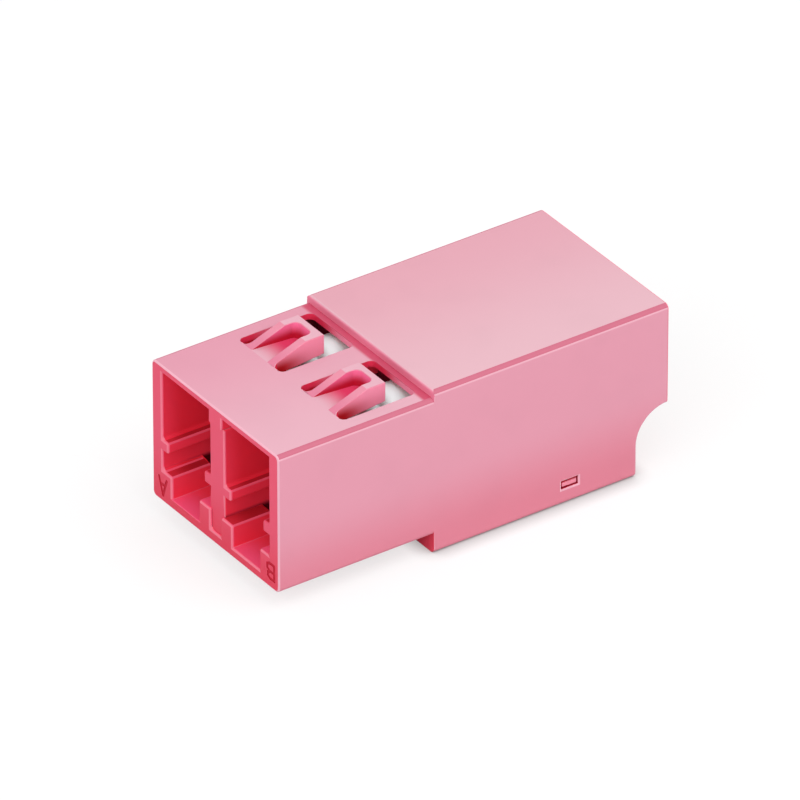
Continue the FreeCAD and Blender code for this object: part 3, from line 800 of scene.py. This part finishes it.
def insert_round(edge):
    middle = middle_of(edge)
    if abs(middle.x) > INSERT_SIDE + LEVEL:
        return INNER_ROUND if edge.is_convex else 0.0
    rim = min(INSERT_SIDE - abs(middle.x), middle.z - INSERT_LOW.z, INSERT_HIGH.z - middle.z)
    if middle.y < INSERT_LOW.y + LEVEL or rim < CAVITY_ROUND:
        return 0.0
    return port_round(edge, INSERT_FACE, -1)


def insert_tone(face):
    middle = face.calc_center_median()
    if abs(middle.x) > INSERT_SIDE - LEVEL:
        return "lug" if abs(face.normal.x) > LEANING else "port"
    return port_tone(face, INSERT_FACE, -1)


def dress_insert():
    mesh = fill_lugs(node_mesh("rear_insert"))
    make_whole(mesh)
    mesh = shape(mesh, insert_round)
    paint(mesh, insert_tone)
    piece = new_piece("rear_port_insert", mesh, PINKS.values())
    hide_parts("rear_insert")
    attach(piece, "adapter")


# Latch tongues


def belly_height(along):
    return PORT_TOP - BELLY_SLOPE * (TONGUE_HIGH.y - along)


def deepen_belly(mesh):
    """Lower a tongue's belly towards the root, where it all but closes the slot beside it."""
    for vert in mesh.verts:
        if vert.co.z < PORT_TOP + LEVEL:
            vert.co.z = belly_height(vert.co.y)


def widen_pocket(mesh, root):
    """Widen the rounds in the two far corners of a tongue's pocket, along its walls and floor."""
    for vert in mesh.verts:
        end = POCKET_END if vert.co.z > NOSE_TOP else POCKET_END - POCKET_DRAFT
        side = 1 if vert.co.x > root.x else -1
        corner = Vector((root.x + side * POCKET_HALF, end))
        reach = vert.co.xy - corner
        if -LEVEL < -side * reach.x < POCKET_ROUND + LEVEL and -LEVEL < -reach.y < POCKET_ROUND + LEVEL:
            vert.co.xy = corner + reach * POCKET_WIDENING
            if vert.co.z < NOSE_TOP:
                vert.co.z -= POCKET_SLOPE * reach.y * (POCKET_WIDENING - 1)


def flare_root(mesh, root):
    """Widen a tongue's root by a concave web on either side, so that each slot ends in a round."""
    webs = bmesh.new()
    for side in (-1, 1):
        edge = root.x + side * TONGUE_HALF
        centre = Vector((edge + side * ROOT_FLARE, ROOT_LINE + ROOT_FLARE, belly_height(ROOT_LINE)))
        outline = [(edge - side * ROOT_FLARE, ROOT_LINE, centre.z), (centre.x, ROOT_LINE, centre.z)]
        for step in range(1, FLARE_STEPS + 1):
            angle = step / FLARE_STEPS * math.pi / 2
            outline.append(centre + ROOT_FLARE * Vector((-side * math.sin(angle), -math.cos(angle), 0)))
        outline.append((edge - side * ROOT_FLARE, centre.y, centre.z))
        base = webs.faces.new([webs.verts.new(point) for point in outline])
        raised = bmesh.ops.extrude_face_region(webs, geom=[base])["geom"]
        for vert in raised:
            if isinstance(vert, bmesh.types.BMVert):
                vert.co.z = NOSE_TOP + RAMP_SLOPE * (vert.co.y - ROOT_LINE)
    bmesh.ops.recalc_face_normals(webs, faces=webs.faces)
    return combine(mesh, webs, "UNION")


def beside_tongue(point):
    """How far a point lies outside the nearer tongue's flank."""
    return min(abs(point.x - root.x) for root in ROOTS.values()) - TONGUE_HALF


def tongue_round(edge):
    middle = middle_of(edge)
    if middle.y < ROOT_LINE + LEVEL or not edge.is_convex:
        return 0.0
    return TONGUE_ROUND


def tongue_tone(face):
    middle = face.calc_center_median()
    normal = face.normal
    if beside_tongue(middle) > LEVEL:
        return "nose" if normal.z > LEANING else "window"
    if normal.z > SQUARE:
        return "ridge" if middle.z > RIDGE - LEVEL else "pocket"
    if normal.z > LEANING:
        return "ramp"
    if normal.z < -HALFWAY:
        return "port"
    if beside_tongue(middle) > -TONGUE_ROUND:
        return "flank"
    return "pocket_wall"


def dress_tongue(side):
    node = f"latch_tongue_{side}"
    body = f"{side}_tongue"
    root = ROOTS[body]
    mesh = node_mesh(node)
    flatten_roots(mesh, past_line=0.0)
    deepen_belly(mesh)
    widen_pocket(mesh, root)
    mesh = flare_root(mesh, root)
    make_whole(mesh)
    mesh = shape(mesh, tongue_round)
    paint(mesh, tongue_tone)
    piece = new_piece(f"spring_tongue_{side}", mesh, PINKS.values())
    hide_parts(node)
    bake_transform(piece)


# Sleeve holders and sleeves


def dress_inner(node, name, material, width):
    mesh = node_mesh(node)
    make_whole(mesh)
    mesh = shape(mesh, lambda edge: width if edge.is_convex else 0.0)
    piece = new_piece(name, mesh, [material])
    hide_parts(node)
    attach(piece, "adapter")


dress_housing()
dress_insert()
for side in ("left", "right"):
    dress_tongue(side)
    dress_inner(f"split_sleeve_{side}", f"ceramic_sleeve_{side}", CERAMIC, SLEEVE_ROUND)
for end in ("front", "rear"):
    dress_inner(f"sleeve_holder_{end}", f"white_holder_{end}", WHITE, HOLDER_ROUND)


# Stage, light and camera


def make_floor():
    """A white floor whose faint shadow deepens beside the part; it throws back less light than it shows."""
    bpy.ops.mesh.primitive_plane_add(size=FLOOR_SIZE)
    floor = bpy.context.object
    floor.name = "floor"
    material, nodes, links, shader = new_material("floor_white")
    rays = nodes.new("ShaderNodeLightPath")
    seen = rays.outputs["Is Camera Ray"]
    shade = spread_between(nodes, links, seen, (0, 1), (FLOOR_BOUNCE, 1 - FLOOR_GLOW))
    nearness = nodes.new("ShaderNodeAmbientOcclusion")
    nearness.inputs["Distance"].default_value = CONTACT_REACH * MM
    glow = (FLOOR_GLOW - CONTACT_SHADE, FLOOR_GLOW)
    open_light = spread_between(nodes, links, nearness.outputs["AO"], (0, 1), glow)
    light = nodes.new("ShaderNodeMath")
    light.operation = "MULTIPLY"
    links.new(seen, light.inputs[0])
    links.new(open_light, light.inputs[1])
    links.new(shade, shader.inputs["Base Color"])
    links.new(light.outputs[0], shader.inputs["Emission Strength"])
    shader.inputs["Emission Color"].default_value = FULL_WHITE
    shader.inputs["Roughness"].default_value = 1.0
    shader.inputs["Specular IOR Level"].default_value = 0.0
    floor.data.materials.append(material)


def light_world():
    """A white surround, seen at full white by the camera and in reflections."""
    world = bpy.data.worlds.new("studio")
    bpy.context.scene.world = world
    world.use_nodes = True
    nodes = world.node_tree.nodes
    links = world.node_tree.links
    background = nodes["Background"]
    background.inputs["Color"].default_value = FULL_WHITE
    rays = nodes.new("ShaderNodeLightPath")
    seen = rays.outputs["Is Camera Ray"]
    for kind in ("Is Glossy Ray", "Is Transmission Ray"):
        either = nodes.new("ShaderNodeMath")
        either.operation = "MAXIMUM"
        links.new(seen, either.inputs[0])
        links.new(rays.outputs[kind], either.inputs[1])
        seen = either.outputs[0]
    strength = spread_between(nodes, links, seen, (0, 1), (AMBIENT, 1))
    links.new(strength, background.inputs["Strength"])


def add_softbox(name, direction, level):
    """A square area lamp that gives a facing white surface the stated share of full white."""
    lamp = bpy.data.lights.new(name, "AREA")
    lamp.size = SOFTBOX_SIZE
    lamp.energy = level * math.pi ** 2 * SOFTBOX_DISTANCE ** 2
    holder = bpy.data.objects.new(name, lamp)
    aim = Vector(direction).normalized()
    holder.location = aim * SOFTBOX_DISTANCE
    holder.rotation_euler = aim.to_track_quat("Z", "Y").to_euler()
    bpy.context.scene.collection.objects.link(holder)


def set_camera():
    camera = bpy.data.cameras.new("camera")
    camera.sensor_width = CAMERA_SENSOR
    camera.lens = CAMERA_LENS
    holder = bpy.data.objects.new("camera", camera)
    place = Vector(CAMERA_PLACE)
    holder.location = place
    holder.rotation_euler = (place - Vector(CAMERA_AIM)).to_track_quat("Z", "Y").to_euler()
    bpy.context.scene.collection.objects.link(holder)
    bpy.context.scene.camera = holder


make_floor()
light_world()
for name, (direction, level) in SOFTBOXES.items():
    add_softbox(name, direction, level)
set_camera()
bpy.context.scene.view_settings.view_transform = "Standard"
